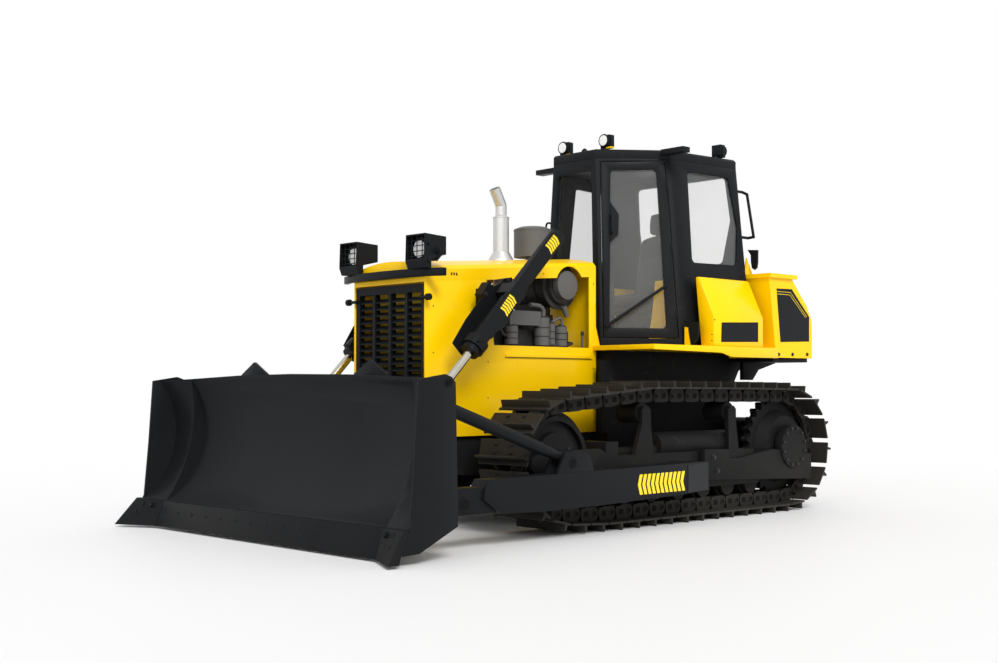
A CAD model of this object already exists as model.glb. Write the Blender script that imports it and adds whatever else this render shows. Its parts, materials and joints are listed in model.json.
"""Looks of the crawler bulldozer: finishes, rounded bodywork and fittings round the fixed frame.

Places are written as millimetres from the sprocket axle (x), the middle plane (y) and the ground (z),
and at() turns them into metres of the frame.
"""

import json
import math

import bmesh
import bpy
from bpy.props import FloatProperty, FloatVectorProperty, IntProperty, PointerProperty
from mathutils import Matrix, Vector

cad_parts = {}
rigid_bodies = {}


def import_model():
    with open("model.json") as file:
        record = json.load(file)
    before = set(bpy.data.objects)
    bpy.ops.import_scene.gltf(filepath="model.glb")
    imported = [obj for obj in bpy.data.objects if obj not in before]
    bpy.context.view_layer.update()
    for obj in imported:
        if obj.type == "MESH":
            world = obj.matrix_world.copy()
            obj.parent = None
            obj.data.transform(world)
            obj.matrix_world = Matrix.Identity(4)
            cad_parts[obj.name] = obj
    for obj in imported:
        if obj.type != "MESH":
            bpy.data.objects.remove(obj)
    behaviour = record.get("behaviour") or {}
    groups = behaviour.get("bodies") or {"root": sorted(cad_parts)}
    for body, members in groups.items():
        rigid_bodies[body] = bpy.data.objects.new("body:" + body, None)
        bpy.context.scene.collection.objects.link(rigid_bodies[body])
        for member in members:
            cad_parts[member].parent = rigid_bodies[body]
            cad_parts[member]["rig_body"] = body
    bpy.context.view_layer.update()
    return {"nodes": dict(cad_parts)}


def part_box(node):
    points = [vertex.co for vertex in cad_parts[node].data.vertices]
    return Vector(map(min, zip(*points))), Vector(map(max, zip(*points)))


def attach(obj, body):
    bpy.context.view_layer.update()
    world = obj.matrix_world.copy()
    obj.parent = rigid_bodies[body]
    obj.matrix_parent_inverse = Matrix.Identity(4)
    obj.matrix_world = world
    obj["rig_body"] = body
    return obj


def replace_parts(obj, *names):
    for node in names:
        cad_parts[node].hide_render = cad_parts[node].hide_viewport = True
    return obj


bl_info = {
    "name": "Crawler bulldozer",
    "version": (1, 0, 0),
    "blender": (4, 5, 0),
    "location": "3D View > Sidebar > Bulldozer",
    "description": "Finishes and fittings of a crawler bulldozer round its fixed frame",
    "category": "Object",
}

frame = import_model()
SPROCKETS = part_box("sprockets")
AXLE_X = (SPROCKETS[0].x + SPROCKETS[1].x) / 2
CHASSIS, BLADE = "chassis", "blade_frame"
SIDES = (("left", 1), ("right", -1))
LEFTWARD = Vector((0, 1, 0))
TO_RIGHT = (1, -1, 1)       # scale that turns a left piece into its right twin


# ---------------- sizes and colours
class StageSettings(bpy.types.PropertyGroup):
    """Camera, floor and lamps."""
    lens: FloatProperty(name="Lens", description="Focal length on a 36 mm sensor, in millimetres", default=47.47)
    yaw: FloatProperty(name="Yaw", description="Direction of view from +X", default=math.radians(-133.52),
                       unit="ROTATION")
    pitch: FloatProperty(name="Pitch", description="Upward tilt of the view", default=math.radians(2.42),
                         unit="ROTATION")
    sky: FloatProperty(name="Sky", description="Strength of the even light", default=0.66, min=0)
    key: FloatProperty(name="Key lamp", description="Strength of the sun lamp", default=2.2, min=0)
    fill: FloatProperty(name="Fill lamp", description="Strength of the low front lamp", default=0.5, min=0)


class PaintSettings(bpy.types.PropertyGroup):
    """Colours of the finishes."""
    yellow: FloatVectorProperty(name="Yellow", description="Bodywork paint", subtype="COLOR",
                                default=(1.0, 0.605, 0.0))
    black: FloatVectorProperty(name="Black", description="Frame and cab paint", subtype="COLOR",
                               default=(0.0080, 0.0088, 0.0102))
    grey: FloatVectorProperty(name="Grey", description="Engine and cleaner paint", subtype="COLOR",
                              default=(0.104, 0.102, 0.098))
    steel: FloatVectorProperty(name="Track steel", description="Bare dark steel of the chain", subtype="COLOR",
                               default=(0.020, 0.0185, 0.0165))
    wear: FloatProperty(name="Wear", description="Amount of scuffs and dust", default=0.3, min=0, max=1,
                        subtype="FACTOR")


class FittingSettings(bpy.types.PropertyGroup):
    """Numbers of repeated parts."""
    shoes: IntProperty(name="Shoes", description="Shoes, links and pins of each track", default=42, min=20)
    edge_bolts: IntProperty(name="Edge bolts", description="Plough bolts along the cutting edge", default=14, min=4)


def at(x, y, z):
    """Place in the frame of millimetres from the sprocket axle, middle plane and ground."""
    return Vector((AXLE_X + x / 1000, y / 1000, z / 1000))


# ---------------- node groups and finishes
def group_of(name, inputs, outputs):
    """Empty shader node group with typed sockets, and its ends."""
    tree = bpy.data.node_groups.new(name, "ShaderNodeTree")
    for socket, kind, value in inputs:
        made = tree.interface.new_socket(socket, in_out="INPUT", socket_type=kind)
        made.default_value = value
    for socket, kind in outputs:
        tree.interface.new_socket(socket, in_out="OUTPUT", socket_type=kind)
    return tree, tree.nodes.new("NodeGroupInput"), tree.nodes.new("NodeGroupOutput")


def fill(node, sockets):
    """Gives each socket a value, or a link from an output or from a node's first output."""
    for socket, value in sockets.items():
        if isinstance(value, bpy.types.Node):
            value = value.outputs[0]
        if isinstance(value, bpy.types.NodeSocket):
            node.id_data.links.new(value, node.inputs[socket])
        else:
            node.inputs[socket].default_value = value


def put(tree, kind, sockets, **settings):
    """New node with its settings and filled sockets."""
    node = tree.nodes.new(kind)
    for key, value in settings.items():
        setattr(node, key, value)
    fill(node, sockets)
    return node


def calc(tree, operation, *terms, **settings):
    """New maths node over the terms."""
    return put(tree, "ShaderNodeMath", dict(enumerate(terms)), operation=operation, **settings)


def worn_paint_group():
    """Paint with slow tone changes, fine scuffs and dust that thickens towards the ground."""
    tree, start, end = group_of(
        "Worn paint",
        [("Color", "NodeSocketColor", (0.5, 0.5, 0.5, 1)), ("Dust Color", "NodeSocketColor", (0.19, 0.165, 0.13, 1)),
         ("Wear", "NodeSocketFloat", 0.3), ("Dust Top", "NodeSocketFloat", 1.2), ("Gloss", "NodeSocketFloat", 0.35),
         ("Grain", "NodeSocketFloat", 40.0)],
        [("Color", "NodeSocketColor"), ("Roughness", "NodeSocketFloat"), ("Height", "NodeSocketFloat")])
    given = start.outputs
    here = put(tree, "ShaderNodeTexCoord", {}).outputs["Object"]
    slow = put(tree, "ShaderNodeTexNoise", {"Vector": here, "Scale": 1.7, "Detail": 5})
    fine = put(tree, "ShaderNodeTexNoise", {"Vector": here, "Scale": given["Grain"], "Detail": 8, "Roughness": 0.65})
    scuff = put(tree, "ShaderNodeTexNoise", {"Vector": here, "Scale": 7, "Detail": 12, "Distortion": 1.2})
    split = put(tree, "ShaderNodeSeparateXYZ", {0: here})
    low = put(tree, "ShaderNodeMapRange",
              {"Value": split.outputs["Z"], "From Max": given["Dust Top"], "To Min": 1, "To Max": 0})
    dust = calc(tree, "MULTIPLY", calc(tree, "MULTIPLY", low, slow), given["Wear"])
    tone = put(tree, "ShaderNodeMapRange", {"Value": slow, "To Min": 0.9, "To Max": 1.08})
    shade = put(tree, "ShaderNodeVectorMath", {0: given["Color"], "Scale": tone}, operation="SCALE")
    marks = put(tree, "ShaderNodeMapRange", {"Value": scuff, "From Min": 0.62, "From Max": 0.75})
    both = calc(tree, "MAXIMUM", calc(tree, "MULTIPLY", marks, given["Wear"]), dust)
    rough = calc(tree, "MULTIPLY_ADD", fine, 0.12, given["Gloss"])
    # a Mix node's colours are its sockets 6 and 7, and its mixed colour is output 2
    mix = put(tree, "ShaderNodeMix", {0: both, 6: shade, 7: given["Dust Color"]}, data_type="RGBA")
    fill(end, {"Color": mix.outputs[2], "Roughness": calc(tree, "MULTIPLY_ADD", both, 0.5, rough, use_clamp=True),
               "Height": fine})
    return tree


def new_material(name):
    """Material with nodes, its tree and its Principled shader."""
    made = bpy.data.materials.new(name)
    made.use_nodes = True
    return made, made.node_tree, made.node_tree.nodes["Principled BSDF"]


def finish(name, group, color, metallic, specular, coat, bump, wear, gloss, grain, dust_top):
    """Material whose worn paint group feeds a Principled shader."""
    made, tree, shader = new_material(name)
    worn = put(tree, "ShaderNodeGroup", {"Color": (*color, 1), "Wear": wear, "Gloss": gloss, "Grain": grain,
                                         "Dust Top": dust_top}, node_tree=group)
    relief = put(tree, "ShaderNodeBump", {"Height": worn.outputs["Height"], "Strength": bump, "Distance": 0.001})
    fill(shader, {"Base Color": worn.outputs["Color"], "Roughness": worn.outputs["Roughness"], "Normal": relief,
                  "Metallic": metallic, "Specular IOR Level": specular, "Coat Weight": coat, "Coat Roughness": 0.12})
    return made


def clear_glass(name, tint):
    """Thin pane that shows what is behind it and mirrors the sky."""
    made, tree, shader = new_material(name)
    here = put(tree, "ShaderNodeTexCoord", {}).outputs["Object"]
    film = put(tree, "ShaderNodeTexNoise", {"Vector": here, "Scale": 2.5, "Detail": 6})
    haze = put(tree, "ShaderNodeMapRange", {"Value": film, "To Min": 0.02, "To Max": 0.07})
    veil = put(tree, "ShaderNodeMapRange", {"Value": film, "To Min": 0.088, "To Max": 0.132})
    fill(shader, {"Base Color": (*tint, 1), "Roughness": haze, "Alpha": veil})
    return made


# short name, material's name, colour or paint setting, tone of it, metallic, specular, coat, bump,
# share of the paint's wear, gloss, grain, height that dust reaches
FINISH_TABLE = (
    ("yellow", "Yellow paint", "yellow", 1, 0, 0.15, 0.12, 0.03, 0.3, 0.26, 90, 1.0),
    ("black", "Black paint", "black", 1, 0, 0.08, 0.02, 0.04, 0.06, 0.36, 120, 0.9),
    ("cab_black", "Cab paint", "black", 1.15, 0, 0.08, 0.02, 0.04, 0.1, 0.38, 160, 0.5),
    ("cast", "Cast frame paint", "black", 0.6, 0, 0.1, 0, 0.35, 0.35, 0.5, 70, 1.3),
    ("grey", "Engine paint", "grey", 1, 0, 0.3, 0, 0.2, 0.4, 0.42, 90, 0.8),
    ("iron", "Dark engine iron", "grey", 0.28, 0, 0.2, 0, 0.3, 0.4, 0.45, 90, 0.8),
    ("steel", "Track steel", "steel", 1, 0.2, 0.15, 0, 0.4, 0.6, 0.45, 60, 1.6),
    ("link", "Track link", "steel", 0.62, 0.2, 0.12, 0, 0.4, 0.4, 0.4, 90, 1.4),
    ("edge", "Edge steel", "black", 0.95, 0, 0.06, 0, 0.15, 0.12, 0.4, 80, 0.7),
    ("arm_plate", "Arm end plate", "black", 2.3, 0, 0.12, 0, 0.08, 0.3, 0.36, 120, 0.9),
    ("chrome", "Chromed rod", (0.52, 0.49, 0.42), 1, 1.0, 0.3, 0, 0, 1 / 15, 0.08, 200, 0.1),
    ("exhaust", "Exhaust steel", (0.60, 0.60, 0.595), 1, 0.85, 0.3, 0, 0.03, 1 / 15, 0.32, 150, 0.1),
    ("bolt", "Bolt steel", (0.030, 0.030, 0.031), 1, 0.3, 0.2, 0, 0.1, 0.3, 0.35, 300, 0.6),
    ("rubber", "Rubber", (0.004, 0.004, 0.0045), 1, 0, 0.08, 0, 0.1, 0.1, 0.6, 250, 0.6),
    ("plastic", "Cab plastic", (0.022, 0.022, 0.024), 1, 0, 0.2, 0, 0.3, 0.1, 0.5, 500, 0.3),
    ("vinyl", "Cushion vinyl", (0.030, 0.030, 0.031), 1, 0, 0.25, 0, 0.5, 0.1, 0.42, 700, 0.3),
    ("stripe", "Warning yellow", (1.0, 0.71, 0.03), 1, 0, 0.2, 0, 0.03, 0.3, 0.35, 120, 0.8),
    ("lamp_white", "Lamp lens", (0.86, 0.87, 0.85), 1, 0, 0.3, 0.8, 0.1, 0, 0.1, 60, 0.1),
    ("core", "Radiator core", (0.55, 0.39, 0.02), 1, 0, 0.3, 0, 0.4, 0.4, 0.5, 200, 0.6),
)
NODE_FINISH = {node: look for look, nodes in (
    ("black", "barrel_left barrel_right braces cylinder_yokes drawbar grille head_lamps lamp_bar moldboard push_arms"),
    ("cab_black", "cab_front cab_rear cab_roof cab_sides door_frames door_left door_right grab_rails roof_lamps"),
    ("cast", "carrier_rollers final_drives hull idlers sprockets track_frames track_rollers"),
    ("chrome", "rod_left rod_right"), ("core", "radiator"), ("edge", "cutting_edge end_bits"), ("exhaust", "exhaust"),
    ("glass", "cab_glass door_glass_left door_glass_right"), ("grey", "engine_filters precleaner"),
    ("iron", "air_cleaner engine"), ("plastic", "cab_floor controls"), ("steel", "track_left track_right"),
    ("vinyl", "seat"), ("yellow", "deck fuel_tank hood_sides hood_top side_boxes side_consoles"),
) for node in nodes.split()}
FINISHES = {}       # the materials, by short name


class BULLDOZER_OT_finishes(bpy.types.Operator):
    """Makes every finish and gives one to each part of the frame"""
    bl_idname = "bulldozer.finishes"
    bl_label = "Finishes"

    def execute(self, context):
        paint, group = context.scene.bulldozer_paint, worn_paint_group()
        for key, name, color, tone, metallic, specular, coat, bump, wear, *rest in FINISH_TABLE:
            color = getattr(paint, color) if isinstance(color, str) else color
            FINISHES[key] = finish(name, group, [channel * tone for channel in color], metallic, specular, coat, bump,
                                   wear * paint.wear, *rest)
        FINISHES["glass"] = clear_glass("Window glass", (0.46, 0.47, 0.47))
        FINISHES["dark_glass"] = clear_glass("Windscreen glass", (0.03, 0.03, 0.03))
        missing = set(frame["nodes"]) - set(NODE_FINISH)
        if missing:
            raise RuntimeError(f"no finish for {sorted(missing)}")
        for node, look in NODE_FINISH.items():
            part = frame["nodes"][node]
            part.data.materials.clear()
            part.data.materials.append(FINISHES[look])
        return {"FINISHED"}


# ---------------- mesh helpers
def add_rod(bm, start, end, r0, r1=None, sides=20):
    """Round bar or cone between two places, radii in metres."""
    axis = end - start
    turn = axis.to_track_quat("Z", "Y").to_matrix().to_4x4()
    bmesh.ops.create_cone(bm, cap_ends=True, segments=sides, radius1=r0, radius2=r0 if r1 is None else r1,
                          depth=axis.length, matrix=Matrix.Translation((start + end) / 2) @ turn)


def add_box(bm, low, high, round_by=0.0):
    """Block between two corners, with rounded edges where asked."""
    low, high = Vector(map(min, low, high)), Vector(map(max, low, high))
    size = high - low
    matrix = Matrix.Translation((low + high) / 2) @ Matrix.Diagonal((*size, 1))
    made = bmesh.ops.create_cube(bm, size=1, matrix=matrix)
    if round_by:
        edges = list({e for v in made["verts"] for e in v.link_edges})
        bmesh.ops.bevel(bm, geom=edges, offset=round_by, offset_type="OFFSET", segments=2, profile=0.5,
                        affect="EDGES", material=-1)


def add_bolt(bm, place, normal, across, washer=True):
    """Hexagon head on a washer, standing on a surface; its other sizes are shares of its width."""
    normal = normal.normalized()
    lift = across * 0.12
    if washer:
        add_rod(bm, place - normal * 0.002, place + normal * lift, across * 0.78, sides=16)
    add_rod(bm, place, place + normal * (lift + across * 0.42), across * 0.577, across * 0.52, sides=6)


def bolts_on_side(bm, spots, y, across, washer=True):
    """Bolts at places (x, z) of a face of constant y."""
    for x, z in spots:
        add_bolt(bm, at(x, y, z), LEFTWARD, across, washer)


def add_pipe(bm, points, radius, sides=12, steps=6):
    """Round tube swept along a smooth line through the points, in steps from each to the next."""
    line = [points[0]]
    for i in range(len(points) - 1):
        p0, p1 = points[max(i - 1, 0)], points[i]
        p2, p3 = points[i + 1], points[min(i + 2, len(points) - 1)]
        for step in range(1, steps + 1):
            t = step / steps
            line.append(0.5 * ((2 * p1) + (p2 - p0) * t + (2 * p0 - 5 * p1 + 4 * p2 - p3) * t * t
                               + (3 * p1 - p0 - 3 * p2 + p3) * t * t * t))
    side = (line[1] - line[0]).orthogonal().normalized()
    rings = []
    for i, place in enumerate(line):
        along = (line[min(i + 1, len(line) - 1)] - line[max(i - 1, 0)]).normalized()
        side = (side - along * side.dot(along)).normalized()
        up = along.cross(side)
        turn = Matrix((side, up, along)).transposed().to_4x4()
        ring = bmesh.ops.create_circle(bm, cap_ends=i in (0, len(line) - 1), radius=radius, segments=sides,
                                       matrix=Matrix.Translation(place) @ turn)
        rings.append(ring["verts"])
    for a, b in zip(rings, rings[1:]):
        edges = list({e for v in a + b for e in v.link_edges
                      if all(w in a for w in e.verts) or all(w in b for w in e.verts)})
        bmesh.ops.bridge_loops(bm, edges=edges)


def slab(bm, ring, shift):
    """Flat outline of places, thickened by a shift."""
    face = bm.faces.new([bm.verts.new(place) for place in ring])
    made = bmesh.ops.extrude_face_region(bm, geom=[face])
    moved = [g for g in made["geom"] if isinstance(g, bmesh.types.BMVert)]
    bmesh.ops.translate(bm, verts=moved, vec=shift)


def moved_right(bm):
    """Turns the mesh into its twin on the right side."""
    bmesh.ops.scale(bm, vec=TO_RIGHT, verts=bm.verts)


def mirrored(*meshes):
    """Adds the right side's copy of everything in each mesh."""
    for bm in meshes:
        copy = bmesh.ops.duplicate(bm, geom=bm.verts[:] + bm.edges[:] + bm.faces[:])
        verts = [g for g in copy["geom"] if isinstance(g, bmesh.types.BMVert)]
        bmesh.ops.scale(bm, vec=TO_RIGHT, verts=verts)


def sheet_on_side(bm, outline, y, thick):
    """Thin plate on a face of constant y, let half a millimetre into it, outline in (x, z) millimetres."""
    sunk = 0.5
    slab(bm, [at(x, y - sunk, z) for x, z in outline], (0, (thick + sunk) / 1000, 0))


def strip_on_side(bm, line, y, width):
    """Narrow band along a bent line on a face of constant y."""
    for (xa, za), (xb, zb) in zip(line, line[1:]):
        along = Vector((xb - xa, 0, zb - za)).normalized()
        up = Vector((-along.z, 0, along.x)) * width / 2
        sheet_on_side(bm, ((xa + up.x, za + up.z), (xb + up.x, zb + up.z), (xb - up.x, zb - up.z),
                           (xa - up.x, za - up.z)), y, 1.0)


def chevrons(bm, start, end, half, count, y):
    """Row of slanted bars with a kink, from start to end in (x, z), on a face of constant y."""
    a, b = Vector((start[0], 0, start[1])), Vector((end[0], 0, end[1]))
    along = (b - a).normalized()
    up = Vector((-along.z, 0, along.x))
    pitch = (b - a).length / count
    tip, bar = pitch * 0.45, pitch * 0.66
    for k in range(count):
        root = a + along * pitch * k
        for side in (1, -1):
            corners = (root, root + along * bar, root + along * (bar + tip) + up * half * side,
                       root + along * tip + up * half * side)
            sheet_on_side(bm, [(c.x, c.z) for c in corners[::side]], y, 1.5)


def add_object(name, data):
    """New object in the scene."""
    made = bpy.data.objects.new(name, data)
    bpy.context.scene.collection.objects.link(made)
    return made


def make_piece(bm, name, look, body=CHASSIS, smooth=35, normals=True):
    """Turns the mesh into a named piece that rides on a body."""
    if normals:
        bmesh.ops.recalc_face_normals(bm, faces=bm.faces)
    mesh = bpy.data.meshes.new(name)
    bm.to_mesh(mesh)
    bm.free()
    piece = add_object(name, mesh)
    mesh.materials.append(FINISHES[look])
    for face in mesh.polygons:
        face.use_smooth = True
    mesh.set_sharp_from_angle(angle=math.radians(smooth))
    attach(piece, body)
    return piece


def standing_copy(node, width=0.0):
    """Copy of a frame part with its plate edges rounded where asked, which stands for it."""
    part = frame["nodes"][node]
    bm = bmesh.new()
    bm.from_mesh(part.data)
    bmesh.ops.remove_doubles(bm, verts=bm.verts, dist=1e-5)
    bmesh.ops.dissolve_limit(bm, angle_limit=FLAT_BELOW, verts=bm.verts, edges=bm.edges)
    if width:
        sharp = [e for e in bm.edges if len(e.link_faces) == 2 and e.calc_face_angle(0) > SHARP_ABOVE]
        bmesh.ops.bevel(bm, geom=sharp, offset=width, offset_type="OFFSET", segments=2, profile=0.5,
                        affect="EDGES", material=-1, clamp_overlap=True)
    bmesh.ops.triangulate(bm, faces=[f for f in bm.faces if len(f.verts) > 4])
    piece = make_piece(bm, node + "_round", NODE_FINISH[node], part["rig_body"], smooth=40, normals=False)
    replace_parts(piece, node)
    return piece


# ---------------- bodywork
FLAT_BELOW, SHARP_ABOVE = math.radians(0.6), math.radians(32)
# node, edge radius in millimetres
ROUNDED = (("hood_sides", 3), ("side_boxes", 12), ("deck", 4), ("cab_roof", 8), ("cab_sides", 8),
           ("cab_front", 8), ("cab_rear", 8), ("door_frames", 6), ("door_left", 8), ("door_right", 8),
           ("moldboard", 4), ("push_arms", 6), ("cutting_edge", 4), ("end_bits", 5), ("lamp_bar", 5),
           ("track_frames", 5), ("hull", 6), ("drawbar", 6))
WINDSCREEN_FROM = AXLE_X + 1.12     # panes in front of this are dark
# where the rear window's left edge lies: furthest x, y from and to, z from and to, in metres of the frame
REAR_EDGE_BOX = (AXLE_X + 0.36, (0.15, 0.55), (2.19, 3.03))
# height of a place on that edge, and how far out the edge moves there, in millimetres
REAR_EDGE = ((2216, 290), (2600, 330), (3000, 255))


def widen_rear_window(piece):
    """Moves the left edge of the rear window out towards the corner post."""
    furthest, (y_from, y_to), (z_from, z_to) = REAR_EDGE_BOX
    for vert in piece.data.vertices:
        x, y, z = vert.co
        if x < furthest and y_from < y < y_to and z_from < z < z_to:
            height = min(max(z * 1000, REAR_EDGE[0][0]), REAR_EDGE[-1][0])
            for (low, first), (high, second) in zip(REAR_EDGE, REAR_EDGE[1:]):
                if height <= high:
                    vert.co.y += (first + (second - first) * (height - low) / (high - low)) / 1000
                    break


class BULLDOZER_OT_bodywork(bpy.types.Operator):
    """Rounds the plate edges of the large parts, and widens the rear window"""
    bl_idname = "bulldozer.bodywork"
    bl_label = "Rounded bodywork"

    def execute(self, context):
        for node, width in ROUNDED:
            piece = standing_copy(node, width / 1000)
            if node == "cab_rear":
                widen_rear_window(piece)
        panes = standing_copy("cab_glass")
        widen_rear_window(panes)
        panes.data.materials.append(FINISHES["dark_glass"])
        for face in panes.data.polygons:
            if face.center.x > WINDSCREEN_FROM:
                face.material_index = 1
        return {"FINISHED"}


# ---------------- track details
TRACK_Y = 940
# middles (x, z) of sprocket and idler, and the circles (x, z, radius) that the chain's pitch line runs round
SPROCKET, IDLER = (0, 566.6), (2910, 543)
CHAIN_CIRCLES = ((*SPROCKET, 440.6), (2480, 266, 140), (*IDLER, 395), (1930, 887.4, 132), (800, 882.2, 132))
CHAIN_START = 0.25          # first pin's place on the belt, in pitches from the sprocket's circle
# link's top, shoe's edge and face over the pitch line, half a shoe's width, grouser's foot as a share of the pitch
LINK_TOP, SHOE_EDGE, SHOE_FACE, SHOE_HALF, GROUSER_FOOT = 60, 71, 76, 255, 0.22
# sides of the link rows from the track's middle: inner face, step, outer face
LINK_FACES = (62, 71, 104)
SHOE_BOLT_Y, SHOE_BOLT_RUNS = 84, (0.5, 0.8)
# bolt circles of the wheels: centre, face y, radius, bolts, part of a step that the first is turned, head's width
WHEEL_BOLTS = ((SPROCKET, 1172, 164, 12, 0.5, 0.024), (IDLER, 1158, 96, 8, 0, 0.020))
FRAME_BOLTS_Y, FRAME_BOLTS = 1158, ((1154, 509), (1104, 393))


def chain_pins(number):
    """Pins one pitch apart along the belt round the wheel circles, in millimetres."""
    normals = []
    count = len(CHAIN_CIRCLES)
    for i, (px, pz, radius) in enumerate(CHAIN_CIRCLES):
        qx, qz, other = CHAIN_CIRCLES[(i + 1) % count]
        reach = math.hypot(qx - px, qz - pz)
        normals.append(math.atan2(qz - pz, qx - px) - math.acos((radius - other) / reach))
    path = []
    for i, (px, pz, radius) in enumerate(CHAIN_CIRCLES):
        turn = (normals[i] - normals[i - 1]) % math.tau
        steps = max(2, int(turn * 40))
        for k in range(steps + 1):
            angle = normals[i - 1] + turn * k / steps
            path.append((px + radius * math.cos(angle), pz + radius * math.sin(angle)))
    lengths = [math.dist(path[k], path[(k + 1) % len(path)]) for k in range(len(path))]
    total = sum(lengths)
    pins = []
    for j in range(number):
        along = total * (j + CHAIN_START) / number
        k = 0
        while along > lengths[k]:
            along -= lengths[k]
            k += 1
        a, b = path[k], path[(k + 1) % len(path)]
        share = along / lengths[k]
        pins.append((a[0] + (b[0] - a[0]) * share, a[1] + (b[1] - a[1]) * share))
    return pins


def link_place(first, second):
    """Turns run, rise and y on the link between two pins into a place; also its length and outward way."""
    start, stop = Vector((first[0], 0, first[1])), Vector((second[0], 0, second[1]))
    along = (stop - start).normalized()
    out = Vector((along.z, 0, -along.x))

    def place(run, rise, y):
        spot = start + along * run + out * rise
        return at(spot.x, y, spot.z)

    return place, (stop - start).length, out


def add_shoe(bm, place, reach, y):
    """Single-grouser shoe over one link, clear of its neighbours."""
    foot = reach * GROUSER_FOOT
    outline = ((5, LINK_TOP), (reach - 5, LINK_TOP), (reach - 5, SHOE_EDGE), (reach - 11, SHOE_FACE),
               (foot + 27, SHOE_FACE), (foot + 20, 121), (foot + 16, 126), (foot + 8, 126), (foot + 4, 121),
               (foot, SHOE_FACE), (11, SHOE_FACE), (5, SHOE_EDGE))
    slab(bm, [place(run, rise, y - SHOE_HALF) for run, rise in outline], (0, 2 * SHOE_HALF / 1000, 0))


def add_link(bm, dark, place, reach, y, side):
    """Stepped side link of one row: the outer pin end, the inner bush end, the pin and the window."""
    inner, step, outer = (y + side * face for face in LINK_FACES)
    pin_end = ((-36, 0), (-30, -26), (-14, -46), (reach * 0.5, -48), (reach * 0.55, -40), (reach - 50, -40),
               (reach - 42, -12), (reach - 48, 24), (reach - 58, 59), (-2, 59), (-28, 36))
    bush_end = ((reach * 0.4, -46), (reach - 4, -47), (reach + 22, -38), (reach + 34, 0), (reach + 22, 34),
                (reach - 10, 58), (reach * 0.4, 58))
    window = ((reach * 0.36, -16), (reach * 0.58, -16), (reach * 0.63, 4), (reach * 0.6, 26), (reach * 0.37, 26))
    slab(bm, [place(run, rise, step) for run, rise in pin_end], (0, (outer - step) / 1000, 0))
    slab(bm, [place(run, rise, inner) for run, rise in bush_end], (0, (step - inner) / 1000, 0))
    slab(dark, [place(run, rise, outer - side) for run, rise in window], (0, side * 0.002, 0))
    add_rod(bm, place(0, 0, outer - 2 * side), place(0, 0, outer + 5 * side), 0.031, 0.028, sides=14)
    add_rod(dark, place(0, 0, outer + 4 * side), place(0, 0, outer + 6.5 * side), 0.018, sides=10)


class BULLDOZER_OT_tracks(bpy.types.Operator):
    """Separate shoes, links, pins and bolts of both tracks, and the bolts of their wheels"""
    bl_idname = "bulldozer.tracks"
    bl_label = "Track chains"

    def execute(self, context):
        pins = chain_pins(context.scene.bulldozer_fitting.shoes)
        for name, sign in SIDES:
            shoes, links, dark, bolts = (bmesh.new() for _ in range(4))
            middle = sign * TRACK_Y
            for first, second in zip(pins, pins[1:] + pins[:1]):
                place, reach, out = link_place(first, second)
                add_shoe(shoes, place, reach, middle)
                for side in (1, -1):
                    add_link(links, dark, place, reach, middle, side)
                    for run in SHOE_BOLT_RUNS:
                        add_bolt(bolts, place(reach * run, SHOE_FACE, middle + SHOE_BOLT_Y * side), out, 0.027,
                                 washer=False)
            shoes = make_piece(shoes, f"track_shoes_{name}", "steel")
            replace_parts(shoes, f"track_{name}")
            make_piece(links, f"track_links_{name}", "link")
            make_piece(dark, f"track_pins_{name}", "rubber")
            make_piece(bolts, f"shoe_bolts_{name}", "steel")

        bm = bmesh.new()
        for (x, z), y, radius, count, first, head in WHEEL_BOLTS:
            turns = [math.tau * (k + first) / count for k in range(count)]
            spots = [(x + radius * math.cos(turn), z + radius * math.sin(turn)) for turn in turns]
            bolts_on_side(bm, spots, y, head, washer=False)
        bolts_on_side(bm, FRAME_BOLTS, FRAME_BOLTS_Y, 0.034)
        mirrored(bm)
        make_piece(bm, "wheel_bolts", "bolt")
        return {"FINISHED"}


# ---------------- blade details
# cutting edge's front face: foot (x, z), way up it, the share of that where the bolts are, and half their row
EDGE_FOOT, EDGE_RISE, BOLTS_UP, ROW_HALF = (4880, 20), (-64, 192), 0.6, 1300
# bolts of an end bit: x, y, z
END_BIT_BOLTS = ((4852, 1420, 112), (4886, 1500, 112), (4925, 1590, 112), (4868, 1455, 178), (4880, 1560, 178))
# pins of the push arm, its trunnion and the brace: x, y, z in millimetres, radius in metres
ARM_PINS = ((4112, 1357, 313, 0.036), (3082, 1373, 549, 0.03), (4520, 1657, 1122, 0.02))


class BULLDOZER_OT_blade_fittings(bpy.types.Operator):
    """Plough bolts of the cutting edge and end bits, and the pins of the arms"""
    bl_idname = "bulldozer.blade_fittings"
    bl_label = "Blade fittings"

    def execute(self, context):
        count = context.scene.bulldozer_fitting.edge_bolts
        (foot_x, foot_z), (run, rise) = EDGE_FOOT, EDGE_RISE
        out = Vector((rise, 0, -run)).normalized()
        bm = bmesh.new()
        for k in range(count):
            y = -ROW_HALF + 2 * ROW_HALF * k / (count - 1)
            spot = at(foot_x + run * BOLTS_UP, y, foot_z + rise * BOLTS_UP)
            add_rod(bm, spot - out * 0.004, spot + out * 0.003, 0.015, 0.012, sides=12)
        for _, sign in SIDES:
            for x, y, z in END_BIT_BOLTS:
                spot = at(x, y * sign, z)
                add_rod(bm, spot - out * 0.02, spot + out * 0.012, 0.021, 0.017, sides=12)
        make_piece(bm, "blade_bolts", "edge", BLADE)

        ring, dark = bmesh.new(), bmesh.new()
        for x, y, z, radius in ARM_PINS:
            add_rod(ring, at(x, y - 2, z), at(x, y + 5, z), radius * 1.35, radius * 1.3, sides=20)
            add_rod(dark, at(x, y + 4, z), at(x, y + 7, z), radius, sides=16)
        mirrored(ring, dark)
        make_piece(ring, "blade_pin_collars", "black", BLADE)
        make_piece(dark, "blade_pins", "rubber", BLADE)
        return {"FINISHED"}


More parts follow.
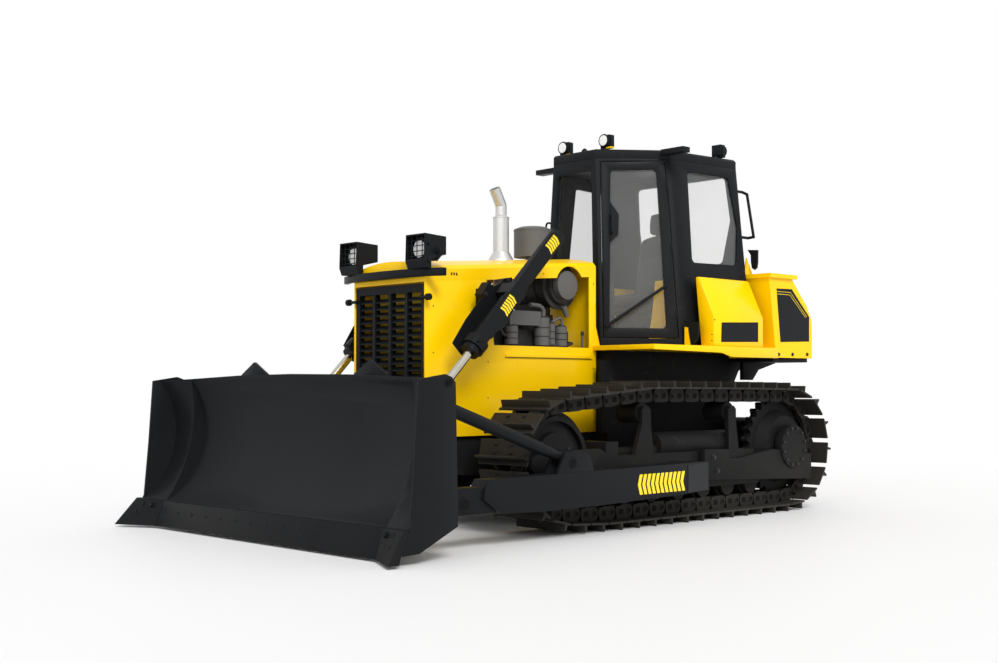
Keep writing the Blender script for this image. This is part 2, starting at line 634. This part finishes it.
# ---------------- hood and lamps
HOOD_SIDE = 431             # y of the hood's side sheet
# screws on it: x, z
HOOD_SCREWS = ((1830, 1960), (2430, 2010), (3040, 1290), (3040, 1010), (3040, 800), (3600, 1700), (3600, 1350),
               (3600, 1000), (1830, 1250), (1830, 1000))
# small slots: first x, step, width, z from and to; seam under the open bay: x from and to, z from and to
HOOD_SLOTS, BAY_SEAM = (3360, 26, 14, 1940, 1962), (1856, 2858, 1326, 1329.5)
# head lamp's middle, x of its guard, and the ends (y, z) of the guard's bars from that middle
LAMP_Y, LAMP_Z, GUARD_X = 410, 2122, 3742
GUARD_BARS = [((-104, z), (104, z)) for z in (-58, -20, 20, 58)] + [((y, -82), (y, 90)) for y in (-60, 0, 60)]
# knob on the lamp box's cheek: x, y of its foot and head, z; and the bolts (x, z) on that cheek
KNOB, CHEEK_BOLTS = (3640, 520, 548, 2105), ((3720, 2150), (3720, 2020))


class BULLDOZER_OT_hood_fittings(bpy.types.Operator):
    """Screws and slots of the hood, and lenses, rings, guards and knobs of the head lamps"""
    bl_idname = "bulldozer.hood_fittings"
    bl_label = "Hood fittings"

    def execute(self, context):
        bm = bmesh.new()
        for x, z in HOOD_SCREWS:
            add_rod(bm, at(x, HOOD_SIDE, z), at(x, HOOD_SIDE + 4, z), 0.0065, 0.005, sides=8)
        mirrored(bm)
        make_piece(bm, "hood_screws", "bolt")

        bm = bmesh.new()
        first, step, width, low, high = HOOD_SLOTS
        for x in (first, first + step, first + 2 * step):
            add_box(bm, at(x, HOOD_SIDE + 0.5, low), at(x + width, HOOD_SIDE + 2.5, high), 0.0005)
        x0, x1, low, high = BAY_SEAM
        add_box(bm, at(x0, HOOD_SIDE + 0.6, low), at(x1, HOOD_SIDE + 11.5, high))
        mirrored(bm)
        make_piece(bm, "hood_slots", "rubber")

        shell, lens, ring, bars = (bmesh.new() for _ in range(4))
        add_rod(ring, at(3694, LAMP_Y, LAMP_Z), at(3710, LAMP_Y, LAMP_Z), 0.088, 0.086, sides=32)
        add_rod(lens, at(3690, LAMP_Y - 12, LAMP_Z), at(3712, LAMP_Y - 12, LAMP_Z), 0.068, 0.066, sides=32)
        for ends in GUARD_BARS:
            low, high = (at(GUARD_X, LAMP_Y + y, LAMP_Z + z) for y, z in ends)
            add_rod(bars, low, high, 0.0035, sides=6)
        x, foot, head, z = KNOB
        add_rod(shell, at(x, foot, z), at(x, head, z), 0.03, 0.022, sides=16)
        add_bolt(shell, at(x, head, z), LEFTWARD, 0.03)
        bolts_on_side(shell, CHEEK_BOLTS, foot, 0.02)
        mirrored(shell, lens, ring, bars)
        make_piece(lens, "head_lamp_lenses", "lamp_white")
        make_piece(ring, "head_lamp_rings", "black")
        make_piece(bars, "head_lamp_guards", "black")
        make_piece(shell, "head_lamp_knobs", "black")
        return {"FINISHED"}


# ---------------- engine bay and cylinders
CLEANER_X, CLEANER_Z = 2100, 1937       # axis of the lying air cleaner
# its bands: y from and to in millimetres, radius in metres
CLEANER_BANDS = ((276, 296, 0.200), (150, 168, 0.178), (20, 38, 0.178))
CLIP_TURNS, CLIP_RADIUS = (0.6, 2.7, 4.4), 184
# filters beside the engine: shared y and foot, shares of the height where bands are, then x, radius, top of each
FILTER_Y, FILTER_FOOT, FILTER_BANDS = 356, 1434, (0.3, 0.62)
FILTERS = ((2720, 57, 1579), (2372, 64, 1656), (2259, 32, 1610), (2150, 53, 1589))
# pipes round the engine: radius in metres, then the places (x, y, z) that they run through
GREY_PIPES = ((0.018, ((2372, 372, 1670), (2372, 372, 1720), (2420, 372, 1752), (2520, 372, 1758))),
              (0.012, ((2150, 372, 1600), (2152, 374, 1640), (2190, 374, 1660), (2259, 366, 1626))),
              (0.009, ((1889, 355, 1420), (1889, 355, 1480), (1889, 358, 1530))))
DARK_PIPES = ((0.016, ((2770, 360, 1500), (2830, 368, 1520), (2850, 360, 1600), (2840, 330, 1690))),
              (0.013, ((1990, 300, 1460), (2040, 372, 1452), (2200, 384, 1425), (2330, 380, 1440))))
# rings on the upright stacks: z from and to in millimetres, then the radii in metres there
PRECLEANER_X, PRECLEANER_RINGS = 2120, ((2414, 2422, 0.162, 0.162), (2448, 2452, 0.09, 0.02))
EXHAUST_X, EXHAUST_RINGS = 2490, ((2120, 2150, 0.112, 0.104), (2150, 2212, 0.104, 0.068), (2496, 2502, 0.071, 0.071))
BEARING_Y, BEARING_BOLTS = 622, ((3005, 1912), (3243, 1795), (2985, 1735), (3120, 1700))


class BULLDOZER_OT_engine_fittings(bpy.types.Operator):
    """Bands, covers, caps and pipes of the engine bay, rings of the stacks, and the cylinder bearings' bolts"""
    bl_idname = "bulldozer.engine_fittings"
    bl_label = "Engine fittings"

    def execute(self, context):
        dark, grey = bmesh.new(), bmesh.new()
        for y0, y1, radius in CLEANER_BANDS:
            add_rod(dark, at(CLEANER_X, y0, CLEANER_Z), at(CLEANER_X, y1, CLEANER_Z), radius, sides=40)
        for y0, y1, r0, r1 in ((340, 392, 0.124, 0.119), (391, 395, 0.119, 0.105)):
            add_rod(grey, at(CLEANER_X, y0, CLEANER_Z), at(CLEANER_X, y1, CLEANER_Z), r0, r1, sides=40)
        for turn in CLIP_TURNS:
            x, z = CLEANER_X + CLIP_RADIUS * math.cos(turn), CLEANER_Z + CLIP_RADIUS * math.sin(turn)
            add_box(dark, at(x - 16, 270, z - 12), at(x + 16, 306, z + 12), 0.003)
        add_rod(grey, at(2107, 352, 1760), at(2071, 352, 1680), 0.026, 0.021, sides=14)
        for x, size, top in FILTERS:
            radius = size / 1000
            add_rod(dark, at(x, FILTER_Y, top - 2), at(x, FILTER_Y, top + 14), radius * 0.98, radius * 0.7, sides=24)
            add_rod(dark, at(x, FILTER_Y, top + 12), at(x, FILTER_Y, top + 26), 0.017, 0.015, sides=6)
            for share in FILTER_BANDS:
                z = FILTER_FOOT + (top - FILTER_FOOT) * share
                add_rod(dark, at(x, FILTER_Y, z), at(x, FILTER_Y, z + 8), radius + 0.0025, sides=24)
        for bm, pipes in ((grey, GREY_PIPES), (dark, DARK_PIPES)):
            for radius, line in pipes:
                add_pipe(bm, [at(*place) for place in line], radius)
        add_rod(dark, at(1889, 358, 1526), at(1889, 358, 1560), 0.016, 0.013, sides=12)
        make_piece(dark, "engine_bands", "iron")
        make_piece(grey, "engine_covers", "grey")

        for name, look, x, rings, sides in (("precleaner_bands", "grey", PRECLEANER_X, PRECLEANER_RINGS, 40),
                                            ("exhaust_skirt", "exhaust", EXHAUST_X, EXHAUST_RINGS, 36)):
            bm = bmesh.new()
            for z0, z1, r0, r1 in rings:
                add_rod(bm, at(x, 0, z0), at(x, 0, z1), r0, r1, sides=sides)
            make_piece(bm, name, look)

        bm = bmesh.new()
        bolts_on_side(bm, BEARING_BOLTS, BEARING_Y, 0.026)
        mirrored(bm)
        make_piece(bm, "bearing_bolts", "bolt")
        return {"FINISHED"}


# ---------------- cab
def add_pad(name, middle, half, lean):
    """Crowned closed cushion whose sides pull in between its corners, leaning back about its middle."""
    bm = bmesh.new()
    bmesh.ops.create_cube(bm, size=2)
    bmesh.ops.subdivide_edges(bm, edges=bm.edges[:], cuts=13, use_grid_fill=True)
    turn = Matrix.Rotation(math.radians(-lean), 3, "Y")
    for vert in bm.verts:
        x, y, z = vert.co
        ball = Vector((x * math.sqrt(1 - y * y / 2 - z * z / 2 + y * y * z * z / 3),
                       y * math.sqrt(1 - z * z / 2 - x * x / 2 + z * z * x * x / 3),
                       z * math.sqrt(1 - x * x / 2 - y * y / 2 + x * x * y * y / 3)))
        soft = vert.co.lerp(ball, 0.42)
        edge = max(abs(soft.y), abs(soft.z))
        soft.x *= 1 - 0.10 * math.exp(-((edge - 0.70) / 0.05) ** 2)
        vert.co = middle + turn @ Vector((soft.x * half[0], soft.y * half[1], soft.z * half[2])) / 1000
    piece = make_piece(bm, name, "vinyl", smooth=80)
    rounder = piece.modifiers.new("Smooth", "SUBSURF")
    rounder.levels = rounder.render_levels = 1


# on the left door: two places (x, y) of its foot, ends of its bar, corners of its lock plate
DOOR_LINE = ((1595, 363), (1173, 677))
DOOR_BAR = ((1590, 367, 1618), (1176, 674, 1964))
LOCK_PLATE = ((1516, 348, 2687), (1460, 393, 2586), (1473, 398, 2408), (1533, 360, 2338))
# handle: place (x, y, z) and how far out of the door's face in metres
DOOR_HANDLE = ((1520, 356, 2568, 0.004), (1521, 357, 2560, 0.045), (1525, 361, 2430, 0.045), (1526, 362, 2414, 0.004))
# lifting hooks and the front one's foot: x, thickness in metres, outline (y, z)
FRONT_HOOK = (1098, 0.016, ((828, 1667), (884, 1650), (978, 1645), (978, 1542), (962, 1492), (925, 1472), (895, 1492),
                            (880, 1545), (881, 1605), (828, 1606)))
REAR_HOOK = (142, 0.018, ((799, 2339), (908, 2330), (906, 2220), (898, 2170), (872, 2152), (846, 2170), (836, 2225),
                          (834, 2290)))
HOOK_FOOT = (1099, 0.012, ((828, 1606), (856, 1606), (884, 1437), (826, 1437)))
# bosses of the hooks: x from and to, y, z, radius in metres
HOOK_BOSSES = ((1092, 1120, 926, 1520, 0.018), (136, 166, 872, 2196, 0.017))
# seat's base, suspension, pan and back shell: low and high corner, edge radius in metres
SEAT_BLOCKS = (((600, -190, 1480), (930, 190, 1560), 0.012), ((640, -150, 1560), (900, 150, 1760), 0.020),
               ((540, -225, 1758), (1000, 225, 1812), 0.014), ((452, -190, 1850), (500, 190, 2440), 0.020))
# cushions: name, middle, half sizes, lean in degrees, fill
CUSHIONS = (("seat_cushion", (778, 0, 1868), (255, 250, 68), 0, 0.8),
            ("seat_back", (450, 0, 2212), (66, 234, 312), 9.6, 0.7),
            ("seat_headrest", (402, 0, 2622), (50, 122, 104), 5, 0.8))
# roof lamps: lens (x, y, z) and the way it faces; boxes of a lamp's house: x, y and z from and to, edge radius
ROOF_LAMPS = ((1491, 246, 3243, 1), (330, 650, 3235, -1))
LAMP_HOUSE = ((-88, -20, -52, 52, -50, 52, 0.006), (-70, -30, -62, -54, -60, 30, 0.002),
              (-70, -30, 54, 62, -60, 30, 0.002), (-70, -30, -62, 62, -66, -58, 0.002))
# knob in the roof's middle: z from and to, radii in metres
KNOB_X, KNOB_Y, ROOF_KNOB = 1440, -24, ((3150, 3198, 0.036, 0.026), (3196, 3214, 0.026, 0.010))


class BULLDOZER_OT_cab_fittings(bpy.types.Operator):
    """Door bars and handles, lifting hooks, the seat's base and cushions, and lamps and knob of the roof"""
    bl_idname = "bulldozer.cab_fittings"
    bl_label = "Cab fittings"

    def execute(self, context):
        (x0, y0), (x1, y1) = DOOR_LINE
        out = Vector((y1 - y0, x0 - x1, 0)).normalized()
        for name, sign in SIDES:
            bm = bmesh.new()
            low, high = (at(*end) + out * 0.02 for end in DOOR_BAR)
            add_rod(bm, low, high, 0.0135, sides=12)
            for end in (low, high):
                add_rod(bm, end - out * 0.03, end + out * 0.012, 0.013, sides=12)
            slab(bm, [at(*corner) + out * 0.004 for corner in LOCK_PLATE], -out * 0.016)
            add_pipe(bm, [at(x, y, z) + out * lift for x, y, z, lift in DOOR_HANDLE], 0.009, sides=10)
            if sign < 0:
                moved_right(bm)
            make_piece(bm, f"door_bar_{name}", "cab_black", f"door_{name}")

        hook, stand = bmesh.new(), bmesh.new()
        for bm, (x, thick, outline) in ((hook, FRONT_HOOK), (hook, REAR_HOOK), (stand, HOOK_FOOT)):
            slab(bm, [at(x, y, z) for y, z in outline], (thick, 0, 0))
        for x0, x1, y, z, radius in HOOK_BOSSES:
            add_rod(hook, at(x0, y, z), at(x1, y, z), radius, sides=16)
        mirrored(hook, stand)
        for y in (-246, 246):       # feet of the front roof lamps
            add_box(stand, at(1428, y - 6, 3172), at(1470, y + 70, 3186), 0.002)
        make_piece(hook, "lifting_hooks", "cab_black")

        base = bmesh.new()
        for low, high, radius in SEAT_BLOCKS:
            add_box(base, at(*low), at(*high), radius)
        for y in (-62, 62):         # rods of the headrest
            add_rod(base, at(404, y, 2440), at(396, y, 2580), 0.008, sides=12)
        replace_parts(make_piece(base, "seat_base", "plastic"), "seat")
        for name, middle, half, lean, fullness in CUSHIONS:
            add_pad(name, at(*middle), half, lean)

        lens, house = bmesh.new(), bmesh.new()
        for x, y, z, way in ROOF_LAMPS:
            add_rod(lens, at(x, y, z), at(x + 4 * way, y, z), 0.047, 0.045, sides=28)
            add_rod(house, at(x - 6 * way, y, z), at(x + 3 * way, y, z), 0.058, 0.055, sides=28)
            for x0, x1, y0, y1, z0, z1, radius in LAMP_HOUSE:
                add_box(house, at(x + x0 * way, y + y0, z + z0), at(x + x1 * way, y + y1, z + z1), radius)
        mirrored(lens, house)
        for z0, z1, r0, r1 in ROOF_KNOB:
            add_rod(house, at(KNOB_X, KNOB_Y, z0), at(KNOB_X, KNOB_Y, z1), r0, r1, sides=20)
        make_piece(stand, "hook_stands", "yellow")
        make_piece(lens, "roof_lamp_lenses", "lamp_white")
        make_piece(house, "roof_lamp_houses", "cab_black")
        return {"FINISHED"}


# ---------------- tank, boxes and warning bars
# side faces (y) of tank and box; outlines (x, z) of the dark panel on one and the blank plate on the other
TANK_SIDE, BOX_SIDE = 1070, 1060
PANEL = ((103, 1976), (-135, 1981), (-411, 1739), (-407, 1512), (49, 1497))
PLATE = ((900, 1645), (373, 1663), (375, 1490), (910, 1477))
TANK_BOLTS, BOX_BOLTS = ((78, 1386), (-138, 1389), (-372, 1393)), ((997, 1665), (1040, 1538), (1041, 1486))
# push arm's side face (y), its row of bars' ends (x, z), and the plate at its rear end
ARM_SIDE, ARM_BARS = 1386, ((2386, 357), (1828, 361))
ARM_PLATE = ((1779, 478), (1526, 494), (1526, 276), (1782, 262))
# rows of bars on a lift cylinder: ends (x, z), number of bars, side face (y)
CYLINDER_BARS = (((3131, 1767), (3234, 1651), 6, 812), ((2645, 2252), (2744, 2155), 5, 798))


class BULLDOZER_OT_rear_fittings(bpy.types.Operator):
    """Dark panels, stripes, blank plates and bolts of the tank and side boxes"""
    bl_idname = "bulldozer.rear_fittings"
    bl_label = "Rear fittings"

    def execute(self, context):
        panel, stripe, bolts, plate = (bmesh.new() for _ in range(4))
        sheet_on_side(panel, PANEL, TANK_SIDE, 2.0)
        for inset in (0, 22):
            z = 1950 - inset
            strip_on_side(stripe, ((100, z), (-112 + inset * 0.5, z - 1), (-372 + inset, 1738 - inset * 0.3)),
                          TANK_SIDE + 2, 4)
        bolts_on_side(bolts, TANK_BOLTS, TANK_SIDE, 0.022)
        sheet_on_side(plate, PLATE, BOX_SIDE, 2.5)
        bolts_on_side(bolts, BOX_BOLTS, BOX_SIDE, 0.011, washer=False)
        mirrored(panel, stripe, bolts, plate)
        make_piece(panel, "tank_panels", "cab_black")
        make_piece(stripe, "tank_stripes", "stripe")
        make_piece(plate, "box_plates", "cab_black")
        make_piece(bolts, "rear_bolts", "bolt")
        return {"FINISHED"}


class BULLDOZER_OT_stripes(bpy.types.Operator):
    """Yellow warning bars on the push arms and lift cylinders, and the plates at the arms' rear ends"""
    bl_idname = "bulldozer.stripes"
    bl_label = "Warning bars"

    def execute(self, context):
        arm, plate = bmesh.new(), bmesh.new()
        chevrons(arm, *ARM_BARS, 76, 11, ARM_SIDE)
        sheet_on_side(plate, ARM_PLATE, ARM_SIDE, 3)
        mirrored(arm, plate)
        make_piece(arm, "arm_stripes", "stripe", BLADE)
        make_piece(plate, "arm_end_plates", "arm_plate", BLADE)
        for name, sign in SIDES:
            bm = bmesh.new()
            for start, end, count, y in CYLINDER_BARS:
                chevrons(bm, start, end, 46, count, y)
            if sign < 0:
                moved_right(bm)
            make_piece(bm, f"cylinder_stripes_{name}", "stripe", f"barrel_{name}")
        return {"FINISHED"}


# ---------------- stage
CAMERA_AT = (10002, 7886, 1093)
FLOOR_RADIUS, FADE_FROM, FADE_TO = 90, 4.5, 14      # metres; the floor fades to white between the last two
# sun lamps: name, spread in degrees, direction of the light
LAMPS = (("Key", 22, (-0.38, -0.78, -0.72)), ("Fill", 60, (-0.95, -0.35, -0.25)))


def even_sky(strength):
    """World of even light, which shows as plain white to the camera, through glass and in mirrors."""
    world = bpy.data.worlds.new("Even sky")
    world.use_nodes = True
    tree = world.node_tree
    ray = put(tree, "ShaderNodeLightPath", {}).outputs
    seen = calc(tree, "MAXIMUM", ray["Is Camera Ray"], ray["Is Transmission Ray"])
    level = put(tree, "ShaderNodeMapRange", {"Value": calc(tree, "MAXIMUM", seen, ray["Is Glossy Ray"]),
                                             "To Min": strength, "To Max": 1.0})
    fill(tree.nodes["Background"], {"Color": (1, 1, 1, 1), "Strength": level})
    return world


def pale_floor():
    """Floor's material, which fades to the sky's white far from the machine."""
    made, tree, shader = new_material("Pale floor")
    fill(shader, {"Base Color": (0.86, 0.86, 0.86, 1), "Roughness": 0.6, "Specular IOR Level": 0.2})
    here = put(tree, "ShaderNodeTexCoord", {}).outputs["Object"]
    reach = put(tree, "ShaderNodeVectorMath", {0: here}, operation="LENGTH").outputs["Value"]
    fade = put(tree, "ShaderNodeMapRange", {"Value": reach, "From Min": FADE_FROM, "From Max": FADE_TO},
               interpolation_type="SMOOTHSTEP")
    seen = calc(tree, "MULTIPLY", fade, put(tree, "ShaderNodeLightPath", {}).outputs["Is Camera Ray"])
    white = put(tree, "ShaderNodeEmission", {})
    blend = put(tree, "ShaderNodeMixShader", {0: seen, 1: shader, 2: white})
    fill(tree.nodes["Material Output"], {"Surface": blend})
    return made


class BULLDOZER_OT_stage(bpy.types.Operator):
    """Camera, pale floor, even sky and lamps"""
    bl_idname = "bulldozer.stage"
    bl_label = "Stage"

    def execute(self, context):
        scene = context.scene
        setting = scene.bulldozer_stage
        scene.view_settings.view_transform = "Standard"
        scene.world = even_sky(setting.sky)
        scene.camera = camera = add_object("View", bpy.data.cameras.new("View"))
        camera.data.lens = setting.lens
        camera.data.sensor_width = 36
        camera.data.clip_end = 200
        camera.location = at(*CAMERA_AT)
        camera.rotation_euler = (math.pi / 2 + setting.pitch, 0, setting.yaw - math.pi / 2)

        bm = bmesh.new()
        bmesh.ops.create_circle(bm, cap_ends=True, radius=FLOOR_RADIUS, segments=64)
        floor = add_object("Floor", bpy.data.meshes.new("Floor"))
        bm.to_mesh(floor.data)
        bm.free()
        floor.data.materials.append(pale_floor())

        for name, spread, direction in LAMPS:
            lamp = add_object(name, bpy.data.lights.new(name, "SUN"))
            lamp.data.energy = getattr(setting, name.lower())
            lamp.data.angle = math.radians(spread)
            lamp.rotation_euler = Vector(direction).to_track_quat("-Z", "Y").to_euler()
        return {"FINISHED"}


class BULLDOZER_PT_panel(bpy.types.Panel):
    """Lists the steps that dress the bulldozer"""
    bl_idname = "BULLDOZER_PT_panel"
    bl_label = "Bulldozer"
    bl_space_type = "VIEW_3D"
    bl_region_type = "UI"
    bl_category = "Bulldozer"

    def draw(self, context):
        for group in ("bulldozer_stage", "bulldozer_paint", "bulldozer_fitting"):
            settings = getattr(context.scene, group)
            for key in settings.bl_rna.properties.keys():
                if key not in ("rna_type", "name"):
                    self.layout.prop(settings, key)
        for step in STEPS:
            self.layout.operator(step.bl_idname)


STEPS = (BULLDOZER_OT_finishes, BULLDOZER_OT_bodywork, BULLDOZER_OT_tracks, BULLDOZER_OT_blade_fittings,
         BULLDOZER_OT_hood_fittings, BULLDOZER_OT_engine_fittings, BULLDOZER_OT_cab_fittings,
         BULLDOZER_OT_rear_fittings, BULLDOZER_OT_stripes, BULLDOZER_OT_stage)
GROUPS = (StageSettings, PaintSettings, FittingSettings)


def register():
    for made in GROUPS + STEPS + (BULLDOZER_PT_panel,):
        bpy.utils.register_class(made)
    bpy.types.Scene.bulldozer_stage = PointerProperty(type=StageSettings)
    bpy.types.Scene.bulldozer_paint = PointerProperty(type=PaintSettings)
    bpy.types.Scene.bulldozer_fitting = PointerProperty(type=FittingSettings)


def unregister():
    for made in (BULLDOZER_PT_panel,) + STEPS[::-1] + GROUPS[::-1]:
        bpy.utils.unregister_class(made)
    del bpy.types.Scene.bulldozer_stage, bpy.types.Scene.bulldozer_paint, bpy.types.Scene.bulldozer_fitting


def main():
    """Dresses the frame step by step, and writes how large it is before and after."""
    register()
    for step in STEPS:
        family, name = step.bl_idname.split(".")
        done = getattr(getattr(bpy.ops, family), name)()
        if done != {"FINISHED"}:
            raise RuntimeError(f"{step.bl_label} did not finish")


if __name__ == "__main__":
    main()
